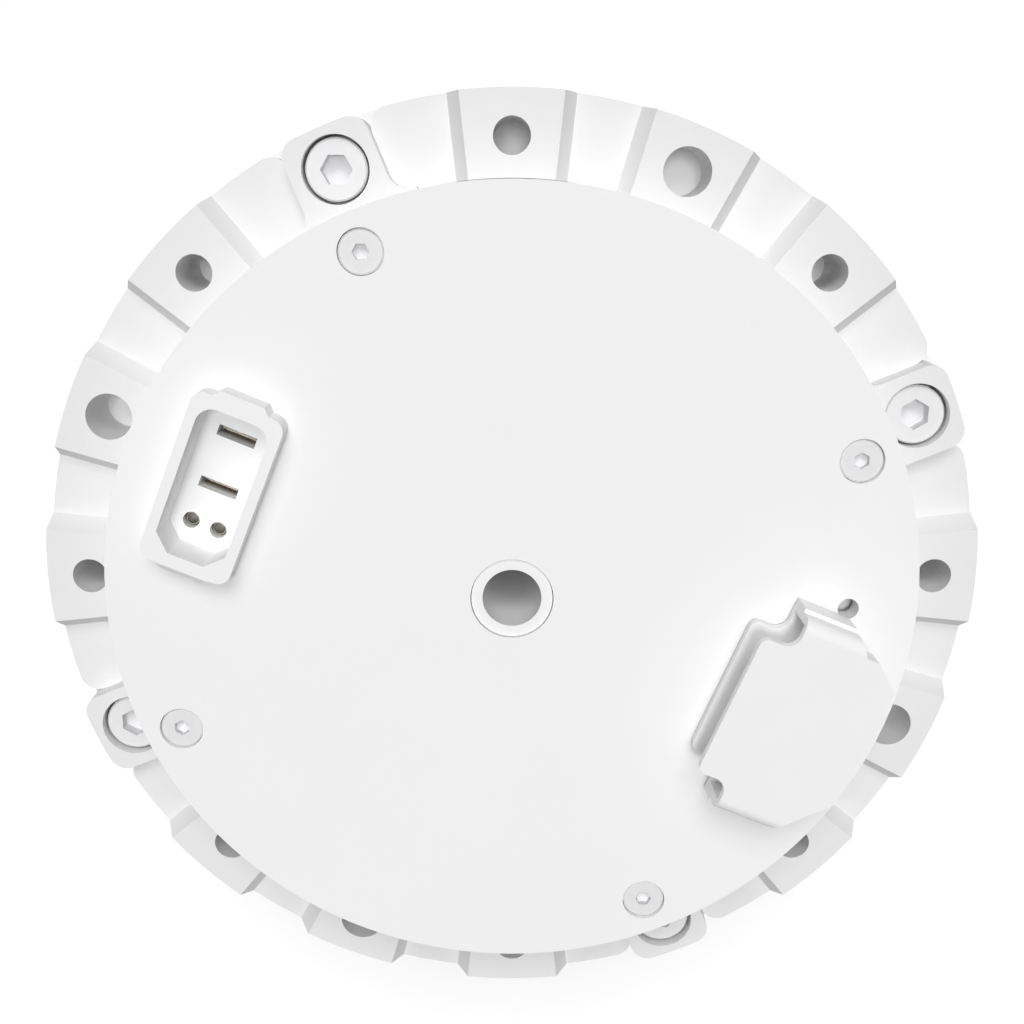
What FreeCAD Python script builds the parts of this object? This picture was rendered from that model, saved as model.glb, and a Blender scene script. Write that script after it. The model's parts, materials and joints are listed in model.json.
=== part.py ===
import FreeCAD, Part
import math
import os
import Sketcher

# Robot joint actuator: an inrunner motor, a planetary gear stage and a driver
# board in one round housing.  The axis is +Z.  The output flange's face lies at
# Z = 0 and the rear cover is on top.  +X points at the plugged bus connector.
# The four ears with the case screws stand on the diagonals.

SIZES = {
    # output side
    "output_lip": 2.5,
    "output_rim": 1.5,
    "output_bearing_height": 6.0,
    "pilot_radius": 12.0,
    "pilot_depth": 1.5,
    "output_bolt_inset": 13.0,
    "bolt_radius": 1.65,
    "output_bolt_depth": 5.5,
    "tube_radius": 3.5,
    "tube_bore": 2.65,
    "tube_drop": 0.3,
    "tube_fit": 0.08,
    # front housing
    "barrel_radius": 42.5,
    "barrel_wall": 5.1,
    "front_face": 1.5,
    "front_chamfer": 1.0,
    "seal_gap": 0.3,
    "seal_width": 1.9,
    "seal_thickness": 0.8,
    # output bearing
    "outer_race": 2.6,
    "race_gap": 1.6,
    "inner_race": 2.7,
    "roller_radius": 1.3,
    "roller_length": 2.4,
    "race_clearance": 0.03,
    "roller_count": 18,
    # planetary stage
    "module": 1.0,
    "sun_teeth": 12,
    "planet_teeth": 24,
    "ring_teeth": 60,
    "planet_count": 3,
    "pressure_angle": 25.0,
    "backlash": 0.10,
    "root_clearance": 0.25,
    "carrier_gap": 0.6,
    "carrier_thickness": 2.5,
    "carrier_bore": 5.2,
    "carrier_relief": 1.0,
    "side_gap": 0.3,
    "face_width": 6.1,
    "pin_radius": 2.5,
    "pin_seat": 2.0,
    "pin_end": 0.2,
    "pin_clearance": 0.05,
    "clip_radius": 3.6,
    "clip_thickness": 0.5,
    "ring_blank": 28.0,
    "carrier_screw_out": 6.0,
    "carrier_screw_spread": 15.0,
    "carrier_screw_grip": 4.7,
    # sun shaft and rotor
    "shaft_bore": 3.85,
    "journal_small": 7.0,
    "shaft_shoulder": 8.0,
    "partition": 2.0,
    "seat_depth": 1.2,
    "bearing_width": 4.0,
    "shaft_end_radius": 5.5,
    "shaft_overrun": 2.8,
    "hub_radius": 11.0,
    "hub_height": 2.0,
    "web_rise": 3.5,
    "web_thickness": 2.0,
    "web_hole_radius": 3.6,
    "web_hole_count": 6,
    "rotor_overhang": 0.2,
    "rotor_wall": 2.5,
    "magnet_thickness": 1.7,
    "air_gap": 0.4,
    "magnet_count": 20,
    "magnet_angle": 16.0,
    "target_rise": 1.1,
    "target_height": 1.5,
    "target_radius": 7.4,
    # rotor bearings
    "small_inner_radius": 8.6,
    "small_outer_bore": 10.4,
    "small_outer_radius": 12.0,
    "small_circle": 9.5,
    "small_ball": 1.15,
    "shield_bore": 8.75,
    "shield_inset": 0.2,
    "shield_thickness": 0.4,
    "lip_bore": 10.8,
    "boss_radius": 14.0,
    # stator
    "stator_wall": 5.7,
    "yoke_width": 3.5,
    "stator_width": 7.4,
    "stator_rise": 1.9,
    "stack_height": 9.0,
    "tooth_width": 4.0,
    "shoe_width": 7.6,
    "shoe_depth": 0.9,
    "shoe_tip": 0.5,
    "slot_count": 18,
    "coil_inset": 1.2,
    "coil_end": 0.5,
    "coil_width": 9.0,
    "coil_overhang": 1.6,
    "coil_gap": 0.05,
    "coil_bevel": 1.2,
    # rear housing
    "flange_overhang": 1.5,
    "flange_lift": 1.5,
    "lug_count": 16,
    "lug_rise": 2.3,
    "valley_depth": 2.0,
    "lug_half_angle": 6.0,
    "lug_foot": 1.15,
    "lug_width": 7.55,
    "register_gap": 0.05,
    "stop_width": 1.4,
    "stop_rise": 1.1,
    "ledge_rise": 0.8,
    "ear_half_width": 4.05,
    "ear_corner": 1.7,
    "ear_flare": 1.9,
    "ear_flare_inset": 5.9,
    "notch_depth": 4.0,
    "notch_corner": 1.7,
    "notch_inset": 2.1,
    "bolt_inset": 4.0,
    "bolt_depth": 9.0,
    "bolt_count": 8,
    "drill_point": 0.9,
    "dowel_radius": 2.15,
    "dowel_depth": 6.6,
    "case_screw_inset": 3.8,
    "case_head_radius": 2.75,
    "case_head_height": 3.0,
    "case_head_sink": 0.7,
    "case_head_gap": 0.25,
    "case_shank_radius": 1.4,
    "case_hole_radius": 1.9,
    "case_screw_grip": 8.1,
    "case_hex": 2.5,
    "case_hex_depth": 1.3,
    "screw_bevel": 0.15,
    "key_turn": 7.5,
    # rear plate, board and cover
    "plate_gap": 0.1,
    "plate_thickness": 2.0,
    "post_height": 0.4,
    "post_radius": 2.4,
    "post_inset": 7.6,
    "board_gap": 1.2,
    "board_thickness": 1.6,
    "board_bore": 8.2,
    "board_notch": 3.4,
    "gasket_thickness": 0.5,
    "cover_wall": 1.6,
    "cover_rise": 6.73,
    "cover_top_wall": 2.0,
    "cover_bore": 3.73,
    "cover_screw_inset": 3.4,
    "cover_boss_radius": 2.4,
    "cover_head_radius": 1.95,
    "cover_head_gap": 0.05,
    "cover_head_sink": 0.25,
    "cover_head_height": 1.1,
    "cover_shank_radius": 1.0,
    "cover_hex": 1.3,
    "cover_hex_depth": 0.6,
    "light_hole_radius": 0.95,
    "light_hole_offset": 0.35,
    "light_hole_side": 10.7,
    "light_guide_radius": 1.4,
    "light_guide_drop": 0.9,
    "chip_length": 6.0,
    "chip_width": 5.0,
    "chip_height": 1.0,
    "chip_inset": 13.6,
    "controller_width": 9.0,
    "controller_gap": 4.5,
    "can_radius": 3.1,
    "can_height": 4.3,
    "can_inset": 6.6,
    "can_pitch": 6.6,
    # connectors
    "socket_inset": 8.5,
    "socket_half_width": 4.1,
    "socket_half_length": 7.85,
    "socket_nose": 0.6,
    "socket_nose_half": 1.9,
    "socket_nose_bevel": 0.5,
    "socket_corner": 1.2,
    "socket_rise": 9.2,
    "cavity_half_width": 3.15,
    "cavity_half_length": 6.75,
    "cavity_corner": 1.5,
    "cavity_depth": 4.3,
    "slot_length": 3.5,
    "slot_width": 1.0,
    "slot_depth": 2.8,
    "slot_pitch": 5.0,
    "slot_first": 4.1,
    "pin_hole_radius": 0.75,
    "pin_hole_side": 1.27,
    "pin_hole_back": 4.65,
    "bus_socket_rise": 6.4,
    "plug_low_rise": 7.05,
    "plug_half_width": 10.0,
    "plug_step_rise": 9.9,
    "plug_step": 0.35,
    "plug_top_rise": 12.3,
    "plug_round": 1.1,
    "plug_back": 4.35,
    "plug_reach": 5.3,
    "plug_lower_inset": 3.7,
    "plug_lower_bevel": 0.9,
    "plug_lower_bevel_side": 1.4,
    "plug_wide_bevel": 4.2,
    "plug_wide_bevel_side": 4.6,
    "plug_narrow_bevel": 2.4,
    "plug_narrow_bevel_side": 2.0,
    "plug_jog": 1.2,
    "plug_jog_length": 0.8,
    "plug_nose_length": 3.05,
    "plug_nose_half": 6.8,
    "plug_nose_corner": 0.75,
    "plug_nose_neck": 1.25,
    "fin_thickness": 0.75,
    "recess_half_width": 8.95,
    "recess_depth": 2.6,
    "tongue_gap": 0.3,
}

# Sizes that follow from the ones above.
FOLLOWING = {
    "front_bore": "barrel_radius - barrel_wall",
    "outer_ring_bore": "front_bore - outer_race",
    "inner_ring_radius": "outer_ring_bore - race_gap",
    "roller_circle": "(outer_ring_bore + inner_ring_radius) / 2",
    "journal_radius": "inner_ring_radius - inner_race",
    "output_radius": "journal_radius + output_rim",
    "seal_bore": "output_radius + seal_gap",
    "front_lip_radius": "seal_bore + seal_width",
    "front_lip_top": "output_lip",
    "journal_top": "output_lip + output_bearing_height",
    "output_bolt_circle": "output_radius - output_bolt_inset",
    "carrier_top": "journal_top + carrier_thickness",
    "carrier_radius": "inner_ring_radius - carrier_gap",
    "ring_relief": "carrier_radius + carrier_relief",
    "planet_circle": "module * (sun_teeth + planet_teeth) / 2",
    "carrier_screw_circle": "planet_circle + carrier_screw_out",
    "carrier_screw_low": "journal_top - carrier_screw_grip",
    "pin_low": "journal_top - pin_seat",
    "planet_low": "carrier_top + side_gap",
    "planet_top": "planet_low + face_width",
    "clip_low": "planet_top + side_gap",
    "clip_top": "clip_low + clip_thickness",
    "pin_top": "clip_top + pin_end",
    "ring_low": "carrier_top + pin_end",
    "ring_top": "pin_top + pin_end",
    "sun_low": "planet_low",
    "sun_top": "pin_top",
    "front_top": "ring_top + partition",
    "front_seat_low": "front_top - seat_depth",
    "front_seat_top": "front_seat_low + bearing_width",
    "stator_low": "front_top + stator_rise",
    "stator_top": "stator_low + stack_height",
    "stator_radius": "barrel_radius - stator_wall",
    "yoke_bore": "stator_radius - yoke_width",
    "stator_bore": "stator_radius - stator_width",
    "coil_inner": "stator_bore + coil_inset",
    "coil_outer": "yoke_bore - coil_end",
    "coil_low": "stator_low - coil_overhang",
    "coil_top": "stator_top + coil_overhang",
    "magnet_radius": "stator_bore - air_gap",
    "rotor_radius": "magnet_radius - magnet_thickness",
    "rotor_bore": "rotor_radius - rotor_wall",
    "rotor_low": "stator_low - rotor_overhang",
    "rotor_top": "stator_top + rotor_overhang",
    "web_low": "stator_low + web_rise",
    "web_top": "web_low + web_thickness",
    "web_hole_circle": "(hub_radius + rotor_bore) / 2",
    "hub_low": "web_low - hub_height",
    "hub_top": "web_top + hub_height",
    "rear_seat_low": "stator_top",
    "rear_seat_top": "rear_seat_low + bearing_width",
    "stop_top": "coil_top + stop_rise",
    "ledge": "stop_top + ledge_rise",
    "plate_top": "stop_top + plate_thickness",
    "cover_low": "ledge + gasket_thickness",
    "board_low": "plate_top + post_height",
    "board_top": "board_low + board_thickness",
    "shaft_top": "board_top + shaft_overrun",
    "target_low": "board_top + target_rise",
    "target_top": "target_low + target_height",
    "lug_top": "plate_top + lug_rise",
    "valley": "lug_top - valley_depth",
    "notch_floor": "lug_top - notch_depth",
    "flange_radius": "barrel_radius + flange_overhang",
    "flange_step": "stator_top",
    "flange_low": "flange_step - flange_lift",
    "register_radius": "flange_radius - lug_width",
    "cover_radius": "register_radius - register_gap",
    "plate_seat": "cover_radius - cover_wall",
    "stop_radius": "plate_seat - stop_width",
    "plate_radius": "plate_seat - plate_gap",
    "board_radius": "plate_seat - board_gap",
    "post_circle": "board_radius - post_inset",
    "controller_out": "board_bore + controller_gap",
    "bolt_circle": "flange_radius - bolt_inset",
    "notch_start": "flange_radius - notch_inset",
    "ear_flare_start": "flange_radius - ear_flare_inset",
    "case_screw_circle": "flange_radius - case_screw_inset",
    "case_head_low": "lug_top - case_head_sink - case_head_height",
    "case_bore_radius": "case_head_radius + case_head_gap",
    "case_screw_low": "front_top - case_screw_grip",
    "cover_screw_circle": "cover_radius - cover_screw_inset",
    "cover_top": "lug_top + cover_rise",
    "cover_ceiling": "cover_top - cover_top_wall",
    "cover_head_bore": "cover_head_radius + cover_head_gap",
    "cover_head_low": "cover_top - cover_head_sink - cover_head_height",
    "tube_top": "cover_top - tube_drop",
    "tube_collar": "cover_bore - tube_fit",
    "collar_low": "cover_ceiling - tube_drop",
    "socket_out": "cover_radius - socket_inset",
    "light_hole_out": "socket_out + light_hole_offset",
    "light_guide_top": "cover_ceiling - light_guide_drop",
    "plug_inner": "socket_out - plug_back",
    "plug_outer": "socket_out + plug_reach",
    "plug_nose": "plug_inner - plug_nose_length",
}

doc = FreeCAD.newDocument("Actuator")
sheet = doc.addObject("Spreadsheet::Sheet", "Sizes")
cells_to_fill = list(SIZES.items())
cells_to_fill += [(alias, "=" + rule) for alias, rule in FOLLOWING.items()]
for row, (alias, content) in enumerate(cells_to_fill, start=1):
    sheet.set("A%d" % row, alias)
    sheet.set("B%d" % row, str(content))
    sheet.setAlias("B%d" % row, alias)
doc.recompute()

nodes = []
TOUCH = 1e-6    # faces this near to each other are one level
PAST = 1.0      # how far a cutting form runs past the face it opens


# ---------------------------------------------------------------- helpers

def size(alias):
    """Reads one driving dimension."""
    return float(sheet.get(alias))


def is_size(word):
    return word in SIZES or word in FOLLOWING


def value(text):
    """Adds up a sum of sizes and numbers, such as 'lug_top - valley_depth'."""
    total = 0.0
    sign = 1.0
    for word in text.split():
        if word in "+-":
            sign = 1.0 if word == "+" else -1.0
        else:
            total += sign * (size(word) if is_size(word) else float(word))
    return total


def cells(text):
    """Turns the same sum into an expression of the sheet's cells."""
    words = ["Sizes." + word if is_size(word) else word for word in text.split()]
    return " ".join(words)


def bind(thing, prop, text):
    thing.setExpression(prop, cells(text))


def place(thing, low, out="0", angle=0.0):
    """Sets a height, a distance from the axis and an angle round it."""
    bind(thing, ".Placement.Base.z", low)
    if out != "0":
        turned = "(%s) * %s(%s deg)"
        thing.setExpression(".Placement.Base.x", turned % (cells(out), "cos", angle))
        thing.setExpression(".Placement.Base.y", turned % (cells(out), "sin", angle))


def cylinder(name, radius, low, high, out="0", angle=0.0):
    thing = doc.addObject("Part::Cylinder", name)
    bind(thing, "Radius", radius)
    thing.setExpression("Height", "(%s) - (%s)" % (cells(high), cells(low)))
    place(thing, low, out, angle)
    return thing


def ring_of(name, radius, low, high, out, angles):
    """Makes equal cylinders at several angles round the axis."""
    made = []
    for number, angle in enumerate(angles, start=1):
        made.append(cylinder("%s_%d" % (name, number), radius, low, high, out, angle))
    return made


def fused(name, pieces):
    thing = doc.addObject("Part::MultiFuse", name)
    thing.Shapes = pieces
    return thing


def cut(name, base, tools):
    """Takes one or several tools away from a base."""
    thing = doc.addObject("Part::Cut", name)
    thing.Base = base
    thing.Tool = tools[0] if len(tools) == 1 else fused(name + "_tools", tools)
    return thing


def plane(body, role):
    for feature in body.Origin.OriginFeatures:
        if feature.Role == role:
            return feature
    raise ValueError(role)


def profile(body, name, corners, role="XZ_Plane"):
    """Draws a closed outline whose corners are bound to sums of sizes."""
    sketch = body.newObject("Sketcher::SketchObject", name)
    sketch.AttachmentSupport = (plane(body, role), [""])
    sketch.MapMode = "FlatFace"
    points = [FreeCAD.Vector(value(across), value(up), 0) for across, up in corners]
    count = len(points)
    for number in range(count):
        line = Part.LineSegment(points[number], points[(number + 1) % count])
        sketch.addGeometry(line, False)
    for number in range(count):
        after = (number + 1) % count
        sketch.addConstraint(Sketcher.Constraint("Coincident", number, 2, after, 1))
    for number, corner in enumerate(corners):
        for kind, text in zip(("DistanceX", "DistanceY"), corner):
            rule = Sketcher.Constraint(kind, -1, 1, number, 1, value(text))
            which = sketch.addConstraint(rule)
            sketch.setExpression("Constraints[%d]" % which, cells(text))
    return sketch


def turned(name, corners):
    """Revolves a section of radii and heights about the axis."""
    body = doc.addObject("PartDesign::Body", name)
    section = profile(body, name + "_section", corners)
    feature = body.newObject("PartDesign::Revolution", name + "_turn")
    feature.Profile = section
    feature.ReferenceAxis = (section, ["V_Axis"])
    feature.Angle = 360.0
    section.Visibility = False
    return body


def tube(name, inner, outer, low, high):
    """Turns a plain ring."""
    return turned(name, [(inner, low), (outer, low), (outer, high), (inner, high)])


def shaped(name, shape):
    """Holds a form that Part's own functions make."""
    thing = doc.addObject("Part::Feature", name)
    thing.Shape = shape
    return thing


def node(label, thing):
    """Marks a finished piece; its label names its file."""
    thing.Label = label
    nodes.append(thing)
    return thing


def spread(count, start=0.0):
    """Gives the angles of equal steps round the axis."""
    return [start + number * 360.0 / count for number in range(count)]


def polar(radius, degrees, height=0.0):
    turn = math.radians(degrees)
    return FreeCAD.Vector(radius * math.cos(turn), radius * math.sin(turn), height)


def spun(shape, degrees):
    """Copies a shape turned about the axis."""
    copy = shape.copy()
    copy.rotate(FreeCAD.Vector(0, 0, 0), FreeCAD.Vector(0, 0, 1), degrees)
    return copy


def prism(points, low, high):
    """Raises a closed outline of straight lines."""
    wire = Part.makePolygon([FreeCAD.Vector(x, y, low) for x, y in points + points[:1]])
    return Part.Face(wire).extrude(FreeCAD.Vector(0, 0, high - low))


def uprights(shape):
    return [edge for edge in shape.Edges if abs(edge.tangentAt(0).z) > 0.9]


def rounded_block(low_corner, high_corner, radius, bottom, top):
    """Raises a rectangle whose four corners are round."""
    width = high_corner[0] - low_corner[0]
    depth = high_corner[1] - low_corner[1]
    start = FreeCAD.Vector(low_corner[0], low_corner[1], bottom)
    block = Part.makeBox(width, depth, top - bottom, start)
    return block.makeFillet(radius, uprights(block))


def annulus(inner, outer, low, high, angle=360.0):
    """Makes a ring, or a sector of it that is centred on +X."""
    start = FreeCAD.Vector(0, 0, low)
    upward = FreeCAD.Vector(0, 0, 1)
    disc = Part.makeCylinder(outer, high - low, start, upward, angle)
    core = Part.makeCylinder(inner, high - low, start, upward)
    return spun(disc.cut(core), -angle / 2 if angle < 360.0 else 0.0)


def key_socket(flats, low, high, out, angle):
    """Makes a hexagonal key hole with a drilled cone at its bottom."""
    centre = polar(out, angle)
    corner = flats / math.sqrt(3.0)
    points = []
    for step in spread(6, angle + size("key_turn")):
        spot = centre + polar(corner, step)
        points.append((spot.x, spot.y))
    cone = Part.makeCone(0.0, flats / 2, flats / 4, polar(out, angle, low - flats / 4))
    return prism(points, low, high).fuse(cone)


# ---------------------------------------------------------------- output side

QUARTERS = spread(4, 45.0)


def bolt_angles():
    """The bolts stand half a lug's turn off the axes."""
    return spread(int(size("bolt_count")), 360.0 / size("lug_count"))


def carrier_screw_angles():
    """Two screws in each gap between neighbouring planets."""
    gaps = spread(int(size("planet_count")), 180.0 / size("planet_count"))
    half = size("carrier_screw_spread")
    return [middle + side for middle in gaps for side in (-half, half)]


def make_output_flange():
    body = turned("flange_body", [
        ("pilot_radius", "0"),
        ("output_radius", "0"),
        ("output_radius", "output_lip"),
        ("journal_radius", "output_lip"),
        ("journal_radius", "journal_top"),
        ("tube_radius", "journal_top"),
        ("tube_radius", "pilot_depth"),
        ("pilot_radius", "pilot_depth"),
    ])
    holes = ring_of("output_bolt", "bolt_radius", "0", "output_bolt_depth",
                    "output_bolt_circle", bolt_angles())
    holes += ring_of("pin_seat", "pin_radius", "pin_low", "journal_top",
                     "planet_circle", spread(int(size("planet_count"))))
    holes += ring_of("carrier_tap", "case_shank_radius", "carrier_screw_low",
                     "journal_top", "carrier_screw_circle", carrier_screw_angles())
    node("output_flange", cut("output_flange", body, holes))


def make_hollow_shaft():
    node("hollow_shaft", turned("hollow_shaft", [
        ("tube_bore", "pilot_depth"),
        ("tube_radius", "pilot_depth"),
        ("tube_radius", "collar_low"),
        ("tube_collar", "collar_low"),
        ("tube_collar", "tube_top"),
        ("tube_bore", "tube_top"),
    ]))


def make_carrier():
    body = tube("carrier_body", "carrier_bore", "carrier_radius", "journal_top",
                "carrier_top")
    count = int(size("planet_count"))
    holes = ring_of("pin_hole", "pin_radius", "journal_top", "carrier_top",
                    "planet_circle", spread(count))
    holes += ring_of("carrier_hole", "case_shank_radius", "journal_top", "carrier_top",
                     "carrier_screw_circle", carrier_screw_angles())
    node("planet_carrier", cut("planet_carrier", body, holes))
    pins = ring_of("pin", "pin_radius", "pin_low", "pin_top", "planet_circle",
                   spread(count))
    node("planet_pins", fused("planet_pins", pins))
    clips = []
    for number, angle in enumerate(spread(count), start=1):
        disc = cylinder("clip_disc_%d" % number, "clip_radius", "clip_low", "clip_top",
                        "planet_circle", angle)
        hole = cylinder("clip_hole_%d" % number, "pin_radius", "clip_low", "clip_top",
                        "planet_circle", angle)
        clips.append(cut("clip_%d" % number, disc, [hole]))
    node("pin_clips", fused("pin_clips", clips))


def cap_screws(name, angles, circle, shank, low, seat, head, head_height, key,
               key_depth, bevel=0.0):
    """Makes equal socket head screws, heads up, as separate solids."""
    upward = FreeCAD.Vector(0, 0, 1)
    solids = []
    for angle in angles:
        stem = Part.makeCylinder(shank, seat - low, polar(circle, angle, low), upward)
        cap = Part.makeCylinder(head, head_height, polar(circle, angle, seat), upward)
        top = seat + head_height
        if bevel:
            rims = [edge for edge in cap.Edges if abs(edge.BoundBox.ZMin - top) < TOUCH]
            cap = cap.makeChamfer(bevel, rims)
        hole = key_socket(key, top - key_depth, top, circle, angle)
        solids.append(cap.fuse(stem).removeSplitter().cut(hole))
    node(name, shaped(name, Part.makeCompound(solids)))


def make_output_bearing():
    """A crossed roller bearing: rollers lean to and fro in square grooves."""
    middle = (size("output_lip") + size("journal_top")) / 2
    circle = size("roller_circle")
    reach = size("roller_radius") + size("race_clearance")
    diagonal = reach * math.sqrt(2.0)
    groove = Part.makePolygon([
        FreeCAD.Vector(circle - diagonal, 0, middle),
        FreeCAD.Vector(circle, 0, middle - diagonal),
        FreeCAD.Vector(circle + diagonal, 0, middle),
        FreeCAD.Vector(circle, 0, middle + diagonal),
        FreeCAD.Vector(circle - diagonal, 0, middle),
    ])
    axis = (FreeCAD.Vector(0, 0, 0), FreeCAD.Vector(0, 0, 1), 360)
    groove = shaped("race_groove", Part.Face(groove).revolve(*axis))
    inner = tube("inner_ring", "journal_radius", "inner_ring_radius", "output_lip",
                 "journal_top")
    outer = tube("outer_ring", "outer_ring_bore", "front_bore", "front_lip_top",
                 "journal_top")
    node("output_bearing_inner", cut("output_bearing_inner", inner, [groove]))
    node("output_bearing_outer", cut("output_bearing_outer", outer, [groove]))
    rollers = []
    length = size("roller_length")
    for number, angle in enumerate(spread(int(size("roller_count")))):
        lean = 45.0 if number % 2 else -45.0
        roller = Part.makeCylinder(size("roller_radius"), length,
                                   FreeCAD.Vector(0, 0, -length / 2))
        roller.rotate(FreeCAD.Vector(0, 0, 0), FreeCAD.Vector(0, 1, 0), lean)
        roller.translate(FreeCAD.Vector(circle, 0, middle))
        rollers.append(spun(roller, angle))
    node("output_rollers", shaped("output_rollers", Part.makeCompound(rollers)))


# ---------------------------------------------------------------- gears

def involute(angle):
    return math.tan(angle) - angle


def gear_outline(teeth, tip, root, thinning, start):
    """Draws a closed gear outline, each flank an arc through its involute."""
    pitch = size("module") * teeth / 2
    pressure = math.radians(size("pressure_angle"))
    base = pitch * math.cos(pressure)
    half = math.pi / (2 * teeth) - thinning / (2 * pitch)

    def flank(radius):
        grip = math.acos(min(1.0, base / radius))
        return half + involute(pressure) - involute(grip)

    foot = max(root, base)
    middle = (foot + tip) / 2

    def line(first, second):
        return Part.LineSegment(first, second)

    edges = []
    for tooth in range(teeth):
        centre = start + tooth * 360.0 / teeth
        following = centre + 360.0 / teeth

        def spot(radius, side, about=centre):
            return polar(radius, about + side * math.degrees(flank(max(radius, base))))

        edges.append(Part.Arc(spot(foot, -1), spot(middle, -1), spot(tip, -1)))
        edges.append(line(spot(tip, -1), spot(tip, 1)))
        edges.append(Part.Arc(spot(tip, 1), spot(middle, 1), spot(foot, 1)))
        if root < base:
            edges.append(line(spot(foot, 1), spot(root, 1)))
        edges.append(line(spot(root, 1), spot(root, -1, following)))
        if root < base:
            edges.append(line(spot(root, -1, following), spot(foot, -1, following)))
    return Part.Wire([edge.toShape() for edge in edges])


def gear_prism(outline, low, high):
    outline.translate(FreeCAD.Vector(0, 0, low))
    return Part.Face(outline).extrude(FreeCAD.Vector(0, 0, high - low))


def make_planets():
    teeth = int(size("planet_teeth"))
    module = size("module")
    pitch = module * teeth / 2
    outline = gear_outline(teeth, pitch + module, pitch - module - size("root_clearance"),
                           size("backlash"), 0.0)
    blank = gear_prism(outline, size("planet_low"), size("planet_top"))
    upward = FreeCAD.Vector(0, 0, 1)
    bore = Part.makeCylinder(size("pin_radius") + size("pin_clearance"),
                             size("planet_top"), FreeCAD.Vector(0, 0, 0), upward)
    planet = blank.cut(bore)
    for number, angle in enumerate(spread(int(size("planet_count"))), start=1):
        gear = shaped("planet_gear_%d" % number, planet)
        spin = FreeCAD.Rotation(upward, angle)
        gear.Placement = FreeCAD.Placement(polar(size("planet_circle"), angle), spin)
        node("planet_gear_%d" % number, gear)


def make_ring_gear():
    module = size("module")
    teeth = int(size("ring_teeth"))
    pitch = module * teeth / 2
    spaces = gear_outline(teeth, pitch + module + size("root_clearance"), pitch - module,
                          -size("backlash"), 0.0)
    body = tube("ring_blank", "ring_blank", "front_bore", "journal_top", "ring_top")
    bore = gear_prism(spaces, 0.0, size("ring_top") + PAST)
    relief = cylinder("ring_relief_cut", "ring_relief", "journal_top", "ring_low")
    node("ring_gear", cut("ring_gear", body, [shaped("ring_teeth_cut", bore), relief]))


def make_sun():
    module = size("module")
    teeth = int(size("sun_teeth"))
    pitch = module * teeth / 2
    outline = gear_outline(teeth, pitch + module, pitch - module - size("root_clearance"),
                           size("backlash"), 180.0 / teeth)
    teeth_part = shaped("sun_teeth_part",
                        gear_prism(outline, size("sun_low"), size("sun_top")))
    shaft = turned("sun_shaft", [
        ("shaft_bore", "sun_top"),
        ("journal_small", "sun_top"),
        ("journal_small", "front_seat_top"),
        ("shaft_shoulder", "front_seat_top"),
        ("shaft_shoulder", "rear_seat_low"),
        ("journal_small", "rear_seat_low"),
        ("journal_small", "rear_seat_top"),
        ("shaft_end_radius", "rear_seat_top"),
        ("shaft_end_radius", "shaft_top"),
        ("shaft_bore", "shaft_top"),
    ])
    bore = cylinder("sun_bore", "shaft_bore", "0", "shaft_top")
    node("sun_gear", cut("sun_gear", fused("sun_blank", [teeth_part, shaft]), [bore]))


# ---------------------------------------------------------------- motor

def small_bearing(name, low, high):
    """A sealed ball bearing of the sun shaft: two grooved rings and two shields."""
    middle = (value(low) + value(high)) / 2
    upward = FreeCAD.Vector(0, 0, 1)
    groove = Part.makeTorus(size("small_circle"),
                            size("small_ball") + size("race_clearance"),
                            FreeCAD.Vector(0, 0, middle), upward)
    groove = shaped(name + "_groove", groove)
    inner = tube(name + "_inner_ring", "journal_small", "small_inner_radius", low, high)
    outer = tube(name + "_outer_ring", "small_outer_bore", "small_outer_radius", low,
                 high)
    node(name + "_inner", cut(name + "_inner", inner, [groove]))
    node(name + "_outer", cut(name + "_outer", outer, [groove]))
    lower = tube(name + "_lower_shield", "shield_bore", "small_outer_bore",
                 low + " + shield_inset", low + " + shield_inset + shield_thickness")
    upper = tube(name + "_upper_shield", "shield_bore", "small_outer_bore",
                 high + " - shield_inset - shield_thickness", high + " - shield_inset")
    node(name + "_shields", fused(name + "_shields", [lower, upper]))


def make_rotor():
    body = turned("rotor_body", [
        ("shaft_shoulder", "hub_low"),
        ("hub_radius", "hub_low"),
        ("hub_radius", "web_low"),
        ("rotor_bore", "web_low"),
        ("rotor_bore", "rotor_low"),
        ("rotor_radius", "rotor_low"),
        ("rotor_radius", "rotor_top"),
        ("rotor_bore", "rotor_top"),
        ("rotor_bore", "web_top"),
        ("hub_radius", "web_top"),
        ("hub_radius", "hub_top"),
        ("shaft_shoulder", "hub_top"),
    ])
    holes = ring_of("web_hole", "web_hole_radius", "web_low", "web_top",
                    "web_hole_circle", spread(int(size("web_hole_count"))))
    node("rotor_hub", cut("rotor_hub", body, holes))
    block = annulus(size("rotor_radius"), size("magnet_radius"), size("stator_low"),
                    size("stator_top"), size("magnet_angle"))
    magnets = [spun(block, angle) for angle in spread(int(size("magnet_count")))]
    node("rotor_magnets", shaped("rotor_magnets", Part.makeCompound(magnets)))
    node("encoder_magnet", tube("encoder_magnet", "shaft_end_radius", "target_radius",
                                "target_low", "target_top"))


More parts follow.
